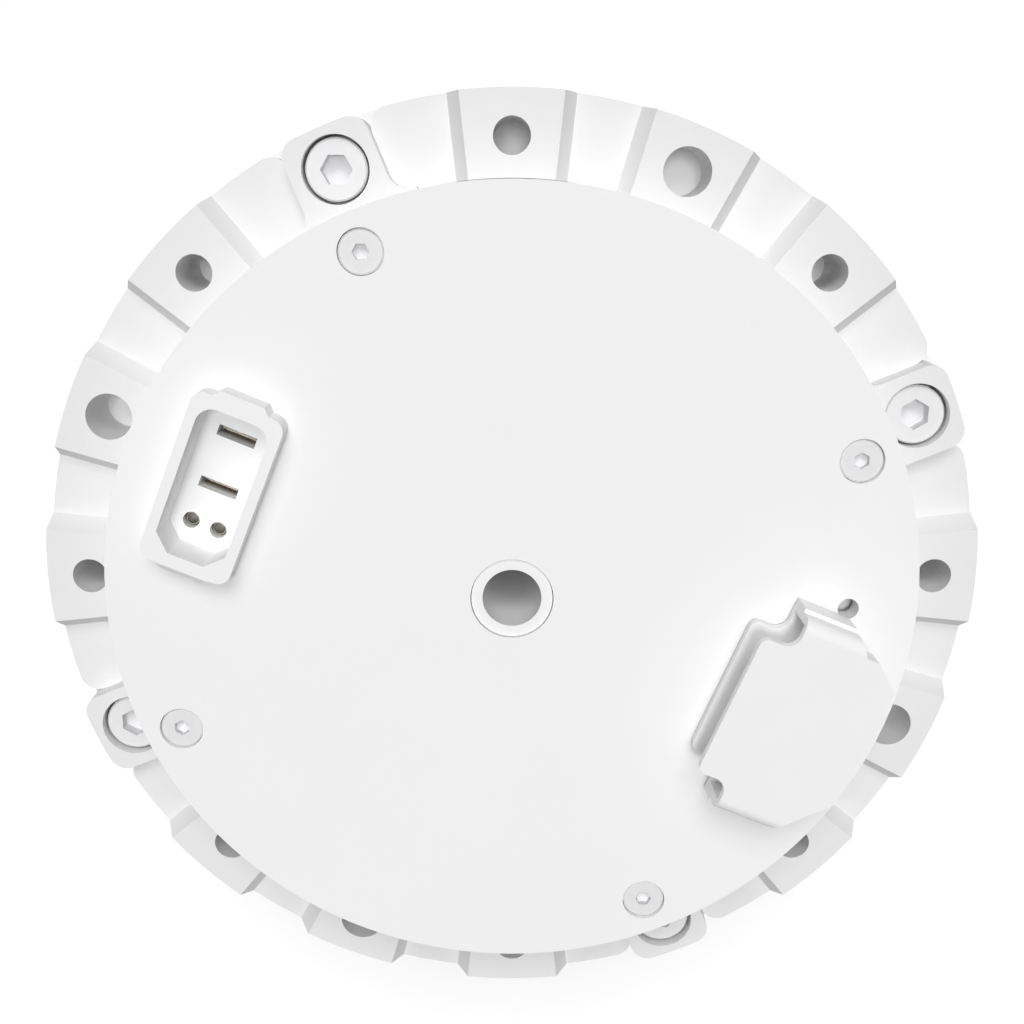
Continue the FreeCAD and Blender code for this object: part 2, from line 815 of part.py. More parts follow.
def make_stator():
    low = size("stator_low")
    high = size("stator_top")
    core = annulus(size("yoke_bore"), size("stator_radius"), low, high)
    half_tooth = size("tooth_width") / 2
    half_shoe = size("shoe_width") / 2
    shoe_out = size("stator_bore") + size("shoe_depth")
    tip = size("shoe_tip")
    inner = size("stator_bore") - tip
    outer = size("yoke_bore") + tip
    tooth = prism([
        (inner, -half_shoe),
        (shoe_out - tip, -half_shoe),
        (shoe_out, -half_tooth),
        (outer, -half_tooth),
        (outer, half_tooth),
        (shoe_out, half_tooth),
        (shoe_out - tip, half_shoe),
        (inner, half_shoe),
    ], low, high)
    upward = FreeCAD.Vector(0, 0, 1)
    tooth = tooth.cut(Part.makeCylinder(size("stator_bore"), high,
                                        FreeCAD.Vector(0, 0, 0), upward))
    angles = spread(int(size("slot_count")))
    core = core.multiFuse([spun(tooth, angle) for angle in angles]).removeSplitter()
    node("stator_core", shaped("stator_core", core))
    gap = size("coil_gap")
    half_coil = size("coil_width") / 2
    length = size("coil_outer") - size("coil_inner")
    coil = Part.makeBox(length, 2 * half_coil, size("coil_top") - size("coil_low"),
                        FreeCAD.Vector(size("coil_inner"), -half_coil, size("coil_low")))
    along = [edge for edge in coil.Edges if abs(edge.tangentAt(0).x) > 0.9]
    coil = coil.makeChamfer(size("coil_bevel"), along)
    window = Part.makeBox(length, 2 * (half_tooth + gap), high - low + 2 * gap,
                          FreeCAD.Vector(size("coil_inner"), -half_tooth - gap,
                                         low - gap))
    coil = coil.cut(window)
    coils = [spun(coil, angle) for angle in angles]
    node("stator_coils", shaped("stator_coils", Part.makeCompound(coils)))


# ---------------------------------------------------------------- housings

def make_front_housing():
    body = turned("front_body", [
        ("front_lip_radius", "front_face"),
        ("barrel_radius - front_chamfer", "front_face"),
        ("barrel_radius", "front_face + front_chamfer"),
        ("barrel_radius", "front_top"),
        ("front_bore", "front_top"),
        ("front_bore", "front_lip_top"),
        ("front_lip_radius", "front_lip_top"),
    ])
    holes = ring_of("case_tap", "case_shank_radius", "case_screw_low", "front_top",
                    "case_screw_circle", QUARTERS)
    node("front_housing", cut("front_housing", body, holes))
    node("output_seal", tube("output_seal", "seal_bore", "front_lip_radius",
                             "front_face", "front_face + seal_thickness"))


def lug(inner, outer):
    """A raised lug: radial top edges, and flanks that widen to its foot."""
    low = size("valley")
    high = size("lug_top")
    slope = math.tan(math.radians(size("lug_half_angle")))
    ends = []
    for out in (inner - PAST, outer + PAST):
        top = out * slope
        foot = top + size("lug_foot")
        ends.append([
            FreeCAD.Vector(out, -foot, low),
            FreeCAD.Vector(out, foot, low),
            FreeCAD.Vector(out, top, high),
            FreeCAD.Vector(out, -top, high),
        ])
    near, far = ends
    sides = [near, far]
    for number in range(4):
        after = (number + 1) % 4
        sides.append([near[number], near[after], far[after], far[number]])
    faces = [Part.Face(Part.makePolygon(side + side[:1])) for side in sides]
    solid = Part.makeSolid(Part.makeShell(faces))
    if solid.Volume < 0:
        solid.reverse()
    return solid


def ear(inner, outer):
    """A screw ear: straight sides, round outer corners and a flared root."""
    low = size("notch_floor")
    high = size("lug_top")
    half = size("ear_half_width")
    block = Part.makeBox(outer, 2 * half, high - low, FreeCAD.Vector(inner / 2, -half, low))
    block = block.common(annulus(inner, outer, low, high))
    outer_edges = [edge for edge in uprights(block)
                   if edge.BoundBox.XMin > (inner + outer) / 2]
    block = block.makeFillet(size("ear_corner"), outer_edges)
    flare = size("ear_flare")
    start = size("ear_flare_start")
    floor = size("valley")
    upward = FreeCAD.Vector(0, 0, 1)
    pieces = [block]
    for side in (-1, 1):
        low_y = min(side * half, side * (half + flare))
        root = Part.makeBox(start - inner + flare, flare, high - floor,
                            FreeCAD.Vector(inner - flare, low_y, floor))
        hollow = Part.makeCylinder(flare, high - floor,
                                   FreeCAD.Vector(start, side * (half + flare), floor),
                                   upward)
        root = root.cut(hollow).common(annulus(inner, outer, floor, high))
        pieces.append(root)
    return pieces[0].multiFuse(pieces[1:])


def notch(outer):
    """The space between an ear and the flange beside it, one on each side."""
    half = size("ear_half_width")
    corner = size("notch_corner")
    start = size("notch_start")
    low = size("notch_floor")
    high = size("valley")
    upward = FreeCAD.Vector(0, 0, 1)
    cutters = []
    for side in (-1, 1):
        low_y = min(side * (half - corner), side * (half + corner))
        space = Part.makeBox(2 * outer - 2 * start, 2 * corner, high - low,
                             FreeCAD.Vector(start, low_y, low))
        kept = Part.makeCylinder(corner, high - low,
                                 FreeCAD.Vector(start, side * (half + corner), low),
                                 upward)
        cutters.append(space.cut(kept))
    return cutters


def make_rear_housing():
    body = turned("rear_body", [
        ("stator_radius", "front_top"),
        ("barrel_radius", "front_top"),
        ("barrel_radius", "flange_low"),
        ("flange_radius", "flange_step"),
        ("flange_radius", "valley"),
        ("register_radius", "valley"),
        ("register_radius", "ledge"),
        ("plate_seat", "ledge"),
        ("plate_seat", "stop_top"),
        ("stop_radius", "stop_top"),
        ("stop_radius", "stator_top"),
        ("stator_radius", "stator_top"),
    ])
    inner = size("register_radius")
    outer = size("flange_radius")
    notches = [spun(cutter, angle) for angle in QUARTERS for cutter in notch(outer)]
    notched = cut("rear_notched", body,
                  [shaped("rear_notches", Part.makeCompound(notches))])
    lug_angles = [angle for angle in spread(int(size("lug_count")))
                  if angle not in QUARTERS]
    rim = annulus(inner, outer, size("notch_floor"), size("lug_top"))
    lobe = lug(inner, outer).common(rim)
    crown = [spun(lobe, angle) for angle in lug_angles]
    crown += [spun(ear(inner, outer), angle) for angle in QUARTERS]
    crown = shaped("rear_crown", Part.makeCompound(crown))
    blank = fused("rear_blank", [notched, crown])
    holes = ring_of("bolt", "bolt_radius", "lug_top - bolt_depth", "lug_top",
                    "bolt_circle", bolt_angles())
    tip = size("drill_point")
    points = [Part.makeCone(0.0, size("bolt_radius"), tip,
                            polar(size("bolt_circle"), angle,
                                  value("lug_top - bolt_depth - drill_point")))
              for angle in bolt_angles()]
    holes.append(shaped("bolt_points", Part.makeCompound(points)))
    holes += ring_of("dowel", "dowel_radius", "lug_top - dowel_depth", "lug_top",
                     "bolt_circle", spread(4))
    holes += ring_of("case_hole", "case_hole_radius", "front_top", "lug_top",
                     "case_screw_circle", QUARTERS)
    holes += ring_of("case_seat", "case_bore_radius", "case_head_low", "lug_top",
                     "case_screw_circle", QUARTERS)
    node("rear_housing", cut("rear_housing", blank, holes))


def make_plates():
    front = turned("partition_body", [
        ("lip_bore", "ring_top"),
        ("front_bore", "ring_top"),
        ("front_bore", "front_top"),
        ("boss_radius", "front_top"),
        ("boss_radius", "front_seat_top"),
        ("small_outer_radius", "front_seat_top"),
        ("small_outer_radius", "front_seat_low"),
        ("lip_bore", "front_seat_low"),
    ])
    node("gear_partition", front)
    rear = turned("rear_plate_body", [
        ("small_outer_radius", "rear_seat_low"),
        ("boss_radius", "rear_seat_low"),
        ("boss_radius", "stop_top"),
        ("plate_radius", "stop_top"),
        ("plate_radius", "plate_top"),
        ("lip_bore", "plate_top"),
        ("lip_bore", "rear_seat_top"),
        ("small_outer_radius", "rear_seat_top"),
    ])
    posts = ring_of("post", "post_radius", "plate_top", "board_low", "post_circle",
                    QUARTERS)
    holes = ring_of("post_tap", "cover_shank_radius", "stop_top + ledge_rise",
                    "board_low", "post_circle", QUARTERS)
    holes += ring_of("cover_tap", "cover_shank_radius", "stop_top", "plate_top",
                     "cover_screw_circle", QUARTERS)
    node("rear_plate", cut("rear_plate", fused("rear_plate_blank", [rear] + posts),
                           holes))


# ---------------------------------------------------------------- electronics

def make_board():
    body = tube("board_body", "board_bore", "board_radius", "board_low", "board_top")
    holes = ring_of("board_notch", "board_notch", "board_low", "board_top",
                    "cover_screw_circle", QUARTERS)
    holes += ring_of("board_hole", "cover_shank_radius", "board_low", "board_top",
                     "post_circle", QUARTERS)
    node("driver_board", cut("driver_board", body, holes))
    top = size("board_top")
    cap_screws("board_screws", QUARTERS, size("post_circle"), size("cover_shank_radius"),
               size("ledge"), top, size("cover_head_radius"), size("cover_head_height"),
               size("cover_hex"), size("cover_hex_depth"))
    length = size("chip_length")
    width = size("chip_width")
    chip = Part.makeBox(length, width, size("chip_height"),
                        FreeCAD.Vector(value("board_radius - chip_inset"), -width / 2, top))
    chips = [spun(chip, angle) for angle in (60.0, 120.0, 150.0, 210.0, 240.0, 300.0)]
    side = size("controller_width")
    controller = Part.makeBox(side, side, size("chip_height"),
                              FreeCAD.Vector(size("controller_out"), -side / 2, top))
    chips.append(spun(controller, 270.0))
    node("board_chips", shaped("board_chips", Part.makeCompound(chips)))
    upward = FreeCAD.Vector(0, 0, 1)
    out = value("board_radius - can_inset")
    step = math.degrees(size("can_pitch") / out)
    cans = [Part.makeCylinder(size("can_radius"), size("can_height"),
                              polar(out, 90.0 + turn * step, top), upward)
            for turn in (-1, 0, 1)]
    node("capacitors", shaped("capacitors", Part.makeCompound(cans)))
    guide = cylinder("guide", "light_guide_radius", "board_top", "light_guide_top")
    bind(guide, ".Placement.Base.x", "light_hole_out")
    bind(guide, ".Placement.Base.y", "light_hole_side")
    node("light_guide", guide)


def socket_outline(side, low, high):
    """The connector shell: round corners and a stepped middle at each end."""
    out = side * size("socket_out")
    half_width = size("socket_half_width")
    half_length = size("socket_half_length")
    shell = rounded_block((out - half_width, -half_length),
                          (out + half_width, half_length),
                          size("socket_corner"), low, high)
    half_nose = size("socket_nose_half")
    ramp = size("socket_nose")
    reach = half_length + ramp
    nose = prism([
        (out - half_nose, -reach),
        (out + half_nose, -reach),
        (out + half_nose + ramp, -half_length),
        (out + half_nose + ramp, half_length),
        (out + half_nose, reach),
        (out - half_nose, reach),
        (out - half_nose - ramp, half_length),
        (out - half_nose - ramp, -half_length),
    ], low, high)
    return shell.fuse(nose).removeSplitter()


def cavity_block(side, shrink, low, high):
    """The socket's hollow: two round corners and, at the pin end, two cut ones."""
    out = side * size("socket_out")
    half_width = size("cavity_half_width") - shrink
    half_length = size("cavity_half_length") - shrink
    corner = size("cavity_corner") - shrink / 2
    block = Part.makeBox(2 * half_width, 2 * half_length, high - low,
                         FreeCAD.Vector(out - half_width, -half_length, low))
    block = block.makeFillet(corner, [edge for edge in uprights(block)
                                      if edge.BoundBox.YMin > 0])
    return block.makeChamfer(corner, [edge for edge in uprights(block)
                                      if edge.BoundBox.YMax < -half_length + TOUCH])


def socket(name, side, rise):
    """A board connector: a shell with a cavity, two blade slots and two pin holes."""
    base = size("board_top")
    top = size("lug_top") + rise
    shell = socket_outline(side, base, top)
    out = side * size("socket_out")
    end = -value("socket_half_length + socket_nose")
    bevelled = [edge for edge in shell.Edges
                if edge.BoundBox.ZMin > top - TOUCH
                and edge.BoundBox.YMax < end + TOUCH]
    shell = shell.makeChamfer(size("socket_nose_bevel"), bevelled)
    floor = top - size("cavity_depth")
    shell = shell.cut(cavity_block(side, 0.0, floor, top))
    foot = floor - size("slot_depth")
    for number in range(2):
        along = size("slot_first") - number * size("slot_pitch")
        slot = Part.makeBox(size("slot_length"), size("slot_width"), size("slot_depth"),
                            FreeCAD.Vector(out - size("slot_length") / 2,
                                           along - size("slot_width") / 2, foot))
        shell = shell.cut(slot)
    upward = FreeCAD.Vector(0, 0, 1)
    for across in (-1, 1):
        spot = FreeCAD.Vector(out + across * size("pin_hole_side"),
                              -size("pin_hole_back"), foot)
        shell = shell.cut(Part.makeCylinder(size("pin_hole_radius"), size("slot_depth"),
                                            spot, upward))
    node(name, shaped(name, shell))


def make_cover():
    body = turned("cover_body", [
        ("cover_bore", "cover_ceiling"),
        ("plate_seat", "cover_ceiling"),
        ("plate_seat", "cover_low"),
        ("cover_radius", "cover_low"),
        ("cover_radius", "cover_top"),
        ("cover_bore", "cover_top"),
    ])
    bosses = ring_of("cover_boss", "cover_boss_radius", "plate_top", "cover_ceiling",
                     "cover_screw_circle", QUARTERS)
    inside = cylinder("cover_inside", "plate_seat", "plate_top", "cover_ceiling")
    kept = doc.addObject("Part::Common", "cover_bosses_kept")
    kept.Base = fused("cover_bosses", bosses)
    kept.Tool = inside
    blank = fused("cover_blank", [body, kept])
    holes = ring_of("cover_hole", "cover_shank_radius", "plate_top", "cover_top",
                    "cover_screw_circle", QUARTERS)
    holes += ring_of("cover_seat", "cover_head_bore", "cover_head_low", "cover_top",
                     "cover_screw_circle", QUARTERS)
    light = cylinder("light_hole", "light_hole_radius", "cover_ceiling", "cover_top")
    bind(light, ".Placement.Base.x", "light_hole_out")
    bind(light, ".Placement.Base.y", "light_hole_side")
    openings = [socket_outline(side, size("cover_ceiling"), size("cover_top"))
                for side in (-1, 1)]
    holes += [light, shaped("cover_openings", Part.makeCompound(openings))]
    node("rear_cover", cut("rear_cover", blank, holes))
    node("cover_gasket", tube("cover_gasket", "plate_seat", "cover_radius", "ledge",
                              "cover_low"))


def make_plug():
    """The bus plug: a stepped cap whose front is open between two finger fins."""
    base = size("lug_top")
    low = base + size("plug_low_rise")
    step = base + size("plug_step_rise")
    top = base + size("plug_top_rise")
    inner = size("plug_inner")
    outer = size("plug_outer")
    half = size("plug_half_width")
    slim = half - size("plug_step")
    lower_end = outer - size("plug_lower_inset")
    lower_start = lower_end - size("plug_lower_bevel")
    lower_side = half - size("plug_lower_bevel_side")
    lower = prism([
        (inner, -half),
        (lower_start, -half),
        (lower_end, -lower_side),
        (lower_end, lower_side),
        (lower_start, half),
        (inner, half),
    ], low, step)
    jog = slim - size("plug_jog")
    jog_start = outer - size("plug_narrow_bevel") - size("plug_jog")
    upper = prism([
        (inner, -slim),
        (outer - size("plug_wide_bevel"), -slim),
        (outer, -slim + size("plug_wide_bevel_side")),
        (outer, jog - size("plug_narrow_bevel_side")),
        (outer - size("plug_narrow_bevel"), jog),
        (jog_start, jog),
        (jog_start - size("plug_jog_length"), slim),
        (inner, slim),
    ], step, top)
    long_edges = [edge for edge in upper.Edges
                  if edge.BoundBox.ZMin > top - TOUCH and abs(edge.tangentAt(0).x) > 0.9
                  and abs(abs(edge.BoundBox.YMin) - slim) < TOUCH]
    upper = upper.makeFillet(size("plug_round"), long_edges)
    thick = size("fin_thickness")
    recess = size("recess_half_width")
    body = lower.fuse(upper).cut(
        Part.makeBox(size("recess_depth"), 2 * recess, top - low - 2 * thick,
                     FreeCAD.Vector(inner, -recess, low + thick)))
    nose = size("plug_nose")
    nose_half = size("plug_nose_half")
    neck = size("plug_nose_neck")
    fins = []
    for bottom in (low, top - thick):
        fin = rounded_block((nose, -nose_half), (inner + neck, nose_half),
                            size("plug_nose_corner"), bottom, bottom + thick)
        fillets = []
        for side in (-1, 1):
            low_y = min(side * nose_half, side * (nose_half + neck))
            square = Part.makeBox(neck, neck, thick,
                                  FreeCAD.Vector(inner - neck, low_y, bottom))
            hollow = Part.makeCylinder(neck, thick,
                                       FreeCAD.Vector(inner - neck,
                                                      side * (nose_half + neck), bottom))
            fillets.append(square.cut(hollow))
        fins.append(fin.multiFuse(fillets))
    gap = size("tongue_gap")
    reach = value("lug_top + bus_socket_rise - cavity_depth + tongue_gap")
    tongue = cavity_block(1, gap, reach, low)
    plug = body.multiFuse([tongue] + fins).removeSplitter()
    node("bus_plug", shaped("bus_plug", plug))


# ---------------------------------------------------------------- assembly

print("output side")
make_output_flange()
make_carrier()
cap_screws("carrier_screws", carrier_screw_angles(), size("carrier_screw_circle"),
           size("case_shank_radius"), size("carrier_screw_low"), size("carrier_top"),
           size("case_head_radius"), size("case_head_height"), size("case_hex"),
           size("case_hex_depth"))
make_hollow_shaft()
make_output_bearing()
print("gears")
make_planets()
make_ring_gear()
make_sun()
print("motor")
small_bearing("front_bearing", "front_seat_low", "front_seat_top")
small_bearing("rear_bearing", "rear_seat_low", "rear_seat_top")
make_rotor()
make_stator()
print("housings")
make_front_housing()
make_rear_housing()
make_plates()
cap_screws("case_screws", QUARTERS, size("case_screw_circle"), size("case_shank_radius"),
           size("case_screw_low"), size("case_head_low"),
           size("case_head_radius"), size("case_head_height"), size("case_hex"),
           size("case_hex_depth"), size("screw_bevel"))
print("electronics and cover")
make_board()
socket("power_socket", -1, size("socket_rise"))
socket("bus_socket", 1, size("bus_socket_rise"))
make_cover()
cap_screws("cover_screws", QUARTERS, size("cover_screw_circle"),
           size("cover_shank_radius"), size("stop_top"), size("cover_head_low"),
           size("cover_head_radius"), size("cover_head_height"), size("cover_hex"),
           size("cover_hex_depth"), size("screw_bevel"))
make_plug()

doc.recompute()
for thing in doc.Objects:
    if "Invalid" in thing.State or "Error" in thing.State:
        raise RuntimeError("%s did not build" % thing.Label)
for thing in nodes:
    if thing.Shape.isNull() or not thing.Shape.isValid():
        raise RuntimeError("%s has no valid shape" % thing.Label)

os.makedirs("parts", exist_ok=True)
for thing in nodes:
    thing.Shape.exportStep("parts/%s.step" % thing.Label)
    print("%-22s %8.2f mm3, %d solids" % (thing.Label, thing.Shape.Volume,
                                        len(thing.Shape.Solids)))
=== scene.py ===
import json
import math

import bmesh
import bpy
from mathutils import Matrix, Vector


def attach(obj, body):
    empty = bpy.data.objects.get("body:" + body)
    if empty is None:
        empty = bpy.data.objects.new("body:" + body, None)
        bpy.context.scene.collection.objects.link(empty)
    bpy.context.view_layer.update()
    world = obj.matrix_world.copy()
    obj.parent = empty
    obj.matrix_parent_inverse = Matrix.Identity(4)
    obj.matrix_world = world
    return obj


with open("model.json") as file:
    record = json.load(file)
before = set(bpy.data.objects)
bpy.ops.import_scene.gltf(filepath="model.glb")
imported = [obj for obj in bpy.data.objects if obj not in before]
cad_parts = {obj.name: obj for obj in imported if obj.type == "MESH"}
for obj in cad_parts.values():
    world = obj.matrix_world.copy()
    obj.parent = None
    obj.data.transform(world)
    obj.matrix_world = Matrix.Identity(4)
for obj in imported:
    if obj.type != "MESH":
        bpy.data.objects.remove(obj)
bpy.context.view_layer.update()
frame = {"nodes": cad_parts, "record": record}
nodes = frame["nodes"]
print("frame loaded:", len(nodes), "nodes")

millimetre = 0.001


def linear(hexColour):
    # sRGB hex to the linear values that shaders use
    parts = [int(hexColour[i:i + 2], 16) / 255 for i in (1, 3, 5)]
    return [c / 12.92 if c <= 0.04045 else ((c + 0.055) / 1.055) ** 2.4 for c in parts] + [1.0]


def addNode(tree, kind, settings=None, links=None):
    # one node, its settings by attribute or socket, and its incoming links
    node = tree.nodes.new(kind)
    for key, value in (settings or {}).items():
        if isinstance(key, int) or key in node.inputs:
            node.inputs[key].default_value = value
        else:
            setattr(node, key, value)
    for key, source in (links or {}).items():
        tree.links.new(source, node.inputs[key])
    return node


def showObject(name, mesh):
    shown = bpy.data.objects.new(name, mesh)
    bpy.context.scene.collection.objects.link(shown)
    return shown


# camera

cameraSetup = {
    "location": (-0.01388, 0.03352, 0.15017),
    "tilt": -15.043,  # degrees about the camera's own level line
    "turn": 22.5,  # degrees about the actuator's axis
    "sensor": 36.0,
    "lens": 43.456,
    "clip": (0.005, 20.0),
}

cameraData = bpy.data.cameras.new("viewCamera")
cameraData.sensor_width = cameraSetup["sensor"]
cameraData.lens = cameraSetup["lens"]
cameraData.clip_start, cameraData.clip_end = cameraSetup["clip"]
camera = showObject("viewCamera", cameraData)
camera.location = cameraSetup["location"]
camera.rotation_euler = (
    math.radians(cameraSetup["tilt"]),
    0,
    math.radians(cameraSetup["turn"]),
)
bpy.context.scene.camera = camera
print("camera placed")


# light: a faint even sky, a high lamp that reaches into the holes and a slanting one for the edges

lightSetup = {
    "sky": 0.12,
    "lampHeading": 112.5,  # degrees round the axis, the side that the camera stands on
    "highLamp": {"energy": 1.40, "tilt": 6.0, "softness": 16.0},
    "slantLamp": {"energy": 1.38, "tilt": 36.0, "softness": 34.0},
}

plainWhite = (1, 1, 1, 1)


def plainlySeen(tree):
    # one for rays that the eye sees directly, by reflection or through a clear piece
    rays = addNode(tree, "ShaderNodeLightPath")
    direct = addNode(tree, "ShaderNodeMath", {"operation": "MAXIMUM"}, {
        0: rays.outputs["Is Camera Ray"],
        1: rays.outputs["Is Glossy Ray"],
    })
    seen = addNode(tree, "ShaderNodeMath", {"operation": "MAXIMUM"}, {
        0: direct.outputs[0],
        1: rays.outputs["Is Transmission Ray"],
    })
    return seen.outputs[0]


def makeSky():
    world = bpy.data.worlds.new("studioSky")
    bpy.context.scene.world = world
    world.use_nodes = True
    tree = world.node_tree
    tree.nodes.clear()
    sky = addNode(tree, "ShaderNodeBackground", {
        "Color": plainWhite,
        "Strength": lightSetup["sky"],
    })
    backdrop = addNode(tree, "ShaderNodeBackground", {"Color": plainWhite, "Strength": 1.0})
    both = addNode(tree, "ShaderNodeMixShader", None, {
        0: plainlySeen(tree),
        1: sky.outputs[0],
        2: backdrop.outputs[0],
    })
    addNode(tree, "ShaderNodeOutputWorld", None, {"Surface": both.outputs[0]})


def makeLamp(name):
    setup = lightSetup[name]
    lamp = bpy.data.lights.new(name, "SUN")
    lamp.energy = setup["energy"]
    lamp.angle = math.radians(setup["softness"])
    tilt = math.radians(setup["tilt"])
    heading = math.radians(lightSetup["lampHeading"])
    aside = math.sin(tilt)
    towards = Vector((aside * math.cos(heading), aside * math.sin(heading), math.cos(tilt)))
    hung = showObject(name, lamp)
    hung.rotation_mode = "QUATERNION"
    hung.rotation_quaternion = towards.to_track_quat("Z", "Y")


makeSky()
makeLamp("highLamp")
makeLamp("slantLamp")
bpy.context.scene.view_settings.view_transform = "Standard"
print("light set")


# floor

floorLook = {
    "radius": 3.0,
    "corners": 64,
    "colour": "#dcdcdc",
    "whiten": 0.37,  # white that the camera sees on top of the lit paper
    "fibreMm": 2.5,
    "fibreDepthMm": 0.05,
    "fibreStrength": 0.1,
    "dullness": 0.5,
}


def paperFloor(look):
    # matt studio paper: the eye gets an even pale ground and the object's soft shadow
    material = bpy.data.materials.new("paleStudioPaper")
    material.use_nodes = True
    tree = material.node_tree
    tree.nodes.clear()
    place = addNode(tree, "ShaderNodeTexCoord").outputs["Object"]
    fibre = addNode(tree, "ShaderNodeTexNoise", {
        "Scale": 1 / (look["fibreMm"] * millimetre),
        "Detail": 2.0,
    }, {"Vector": place})
    dents = addNode(tree, "ShaderNodeBump", {
        "Strength": look["fibreStrength"],
        "Distance": look["fibreDepthMm"] * millimetre,
    }, {"Height": fibre.outputs[0]})
    paper = addNode(tree, "ShaderNodeBsdfDiffuse", {
        "Color": linear(look["colour"]),
        "Roughness": look["dullness"],
    }, {"Normal": dents.outputs[0]})
    lift = addNode(tree, "ShaderNodeMath", {
        "operation": "MULTIPLY",
        1: look["whiten"],
    }, {0: plainlySeen(tree)})
    glow = addNode(tree, "ShaderNodeEmission", {"Color": plainWhite}, {"Strength": lift.outputs[0]})
    both = addNode(tree, "ShaderNodeAddShader", None, {0: paper.outputs[0], 1: glow.outputs[0]})
    addNode(tree, "ShaderNodeOutputMaterial", None, {"Surface": both.outputs[0]})
    return material


floorMesh = bpy.data.meshes.new("studioFloor")
floorShape = bmesh.new()
bmesh.ops.create_circle(
    floorShape,
    cap_ends=True,
    segments=floorLook["corners"],
    radius=floorLook["radius"],
)
floorShape.to_mesh(floorMesh)
floorShape.free()
floorMesh.materials.append(paperFloor(floorLook))
showObject("studioFloor", floorMesh)
print("floor laid")


# finishes

def startMaterial(name):
    # an empty material, its node tree and the place on the piece
    material = bpy.data.materials.new(name)
    material.use_nodes = True
    tree = material.node_tree
    tree.nodes.clear()
    return material, tree, addNode(tree, "ShaderNodeTexCoord").outputs["Object"]


def cloudyColour(tree, place, look):
    # the colour drifts a little in soft patches
    cloud = addNode(tree, "ShaderNodeTexNoise", {
        "Scale": 1 / (look["cloudMm"] * millimetre),
        "Detail": 2.0,
    }, {"Vector": place})
    shade = addNode(tree, "ShaderNodeMix", {
        "data_type": "RGBA",
        6: linear(look["colour"]),
        7: linear(look["drift"]),
    }, {0: cloud.outputs[0]})
    return shade.outputs[2]


def unevenSheen(tree, grain, look, smoother, rougher):
    # the middle of the grain's range becomes a small spread of roughness
    sheen = addNode(tree, "ShaderNodeMapRange", {
        "From Min": 0.3,
        "From Max": 0.7,
        "To Min": look["roughness"] - smoother,
        "To Max": look["roughness"] + rougher,
    }, {"Value": grain})
    return sheen.outputs[0]


def distanceFromAxis(tree, place):
    flat = addNode(tree, "ShaderNodeVectorMath", {
        "operation": "MULTIPLY",
        1: (1, 1, 0),
    }, {0: place})
    length = addNode(tree, "ShaderNodeVectorMath", {"operation": "LENGTH"}, {0: flat.outputs[0]})
    return length.outputs["Value"]


def powderCoat(name, look):
    # powder coat on bead-blasted aluminium: near-white with an even soft sheen and a fine grit
    material, tree, place = startMaterial(name)
    grit = addNode(tree, "ShaderNodeTexNoise", {
        "Scale": 1 / (look["gritMm"] * millimetre),
        "Detail": 3.0,
    }, {"Vector": place})
    dents = addNode(tree, "ShaderNodeBump", {
        "Strength": 0.35,
        "Distance": look["gritDepthMm"] * millimetre,
    }, {"Height": grit.outputs[0]})
    surface = addNode(tree, "ShaderNodeBsdfPrincipled", {"Metallic": 0.0, "IOR": look["ior"]}, {
        "Base Color": cloudyColour(tree, place, look),
        "Roughness": unevenSheen(tree, grit.outputs[0], look, smoother=0.05, rougher=0.07),
        "Normal": dents.outputs[0],
    })
    addNode(tree, "ShaderNodeOutputMaterial", None, {"Surface": surface.outputs[0]})
    return material


caseLook = {
    "colour": "#ebebeb",
    "drift": "#e8e8e8",
    "roughness": 0.72,
    "ior": 1.45,
    "cloudMm": 14.0,
    "gritMm": 0.35,  # real grit is near 0.1, drawn as coarse as it can show
    "gritDepthMm": 0.012,
}

coverLook = {
    "colour": "#f8f8f8",
    "drift": "#f5f5f5",
    "roughness": 0.70,
    "ior": 1.45,
    "cloudMm": 18.0,
    "gritMm": 0.35,
    "gritDepthMm": 0.010,
}


def turnedAluminium(name, look):
    # turned and clear anodised aluminium: pale metal whose sheen runs in fine rings round the axis
    material, tree, place = startMaterial(name)
    smear = addNode(tree, "ShaderNodeTexNoise", {
        "Scale": 1 / (look["smearMm"] * millimetre),
        "Detail": 3.0,
    }, {"Vector": place})
    radius = distanceFromAxis(tree, place)
    height = addNode(tree, "ShaderNodeSeparateXYZ", None, {0: place})
    path = addNode(tree, "ShaderNodeMath", {"operation": "ADD"}, {
        0: radius,
        1: height.outputs["Z"],
    })
    turns = addNode(tree, "ShaderNodeMath", {
        "operation": "MULTIPLY",
        1: 2 * math.pi / (look["feedMm"] * millimetre),
    }, {0: path.outputs[0]})
    rings = addNode(tree, "ShaderNodeMath", {"operation": "SINE"}, {0: turns.outputs[0]})
    dents = addNode(tree, "ShaderNodeBump", {
        "Strength": 0.6,
        "Distance": look["ringDepthMm"] * millimetre,
    }, {"Height": rings.outputs[0]})
    surface = addNode(tree, "ShaderNodeBsdfPrincipled", {"Metallic": 1.0}, {
        "Base Color": cloudyColour(tree, place, look),
        "Roughness": unevenSheen(tree, smear.outputs[0], look, smoother=0.06, rougher=0.08),
        "Normal": dents.outputs[0],
    })
    addNode(tree, "ShaderNodeOutputMaterial", None, {"Surface": surface.outputs[0]})
    return material


flangeLook = {
    "colour": "#dcdddf",
    "drift": "#d2d3d5",
    "roughness": 0.34,
    "cloudMm": 9.0,
    "smearMm": 1.2,
    "feedMm": 0.25,  # real feed is near 0.1, drawn as coarse as it can show
    "ringDepthMm": 0.002,
}

insideLook = {
    "colour": "#c4c6c9",
    "drift": "#b6b8bb",
    "roughness": 0.38,
    "cloudMm": 9.0,
    "smearMm": 1.2,
    "feedMm": 0.30,
    "ringDepthMm": 0.003,
}


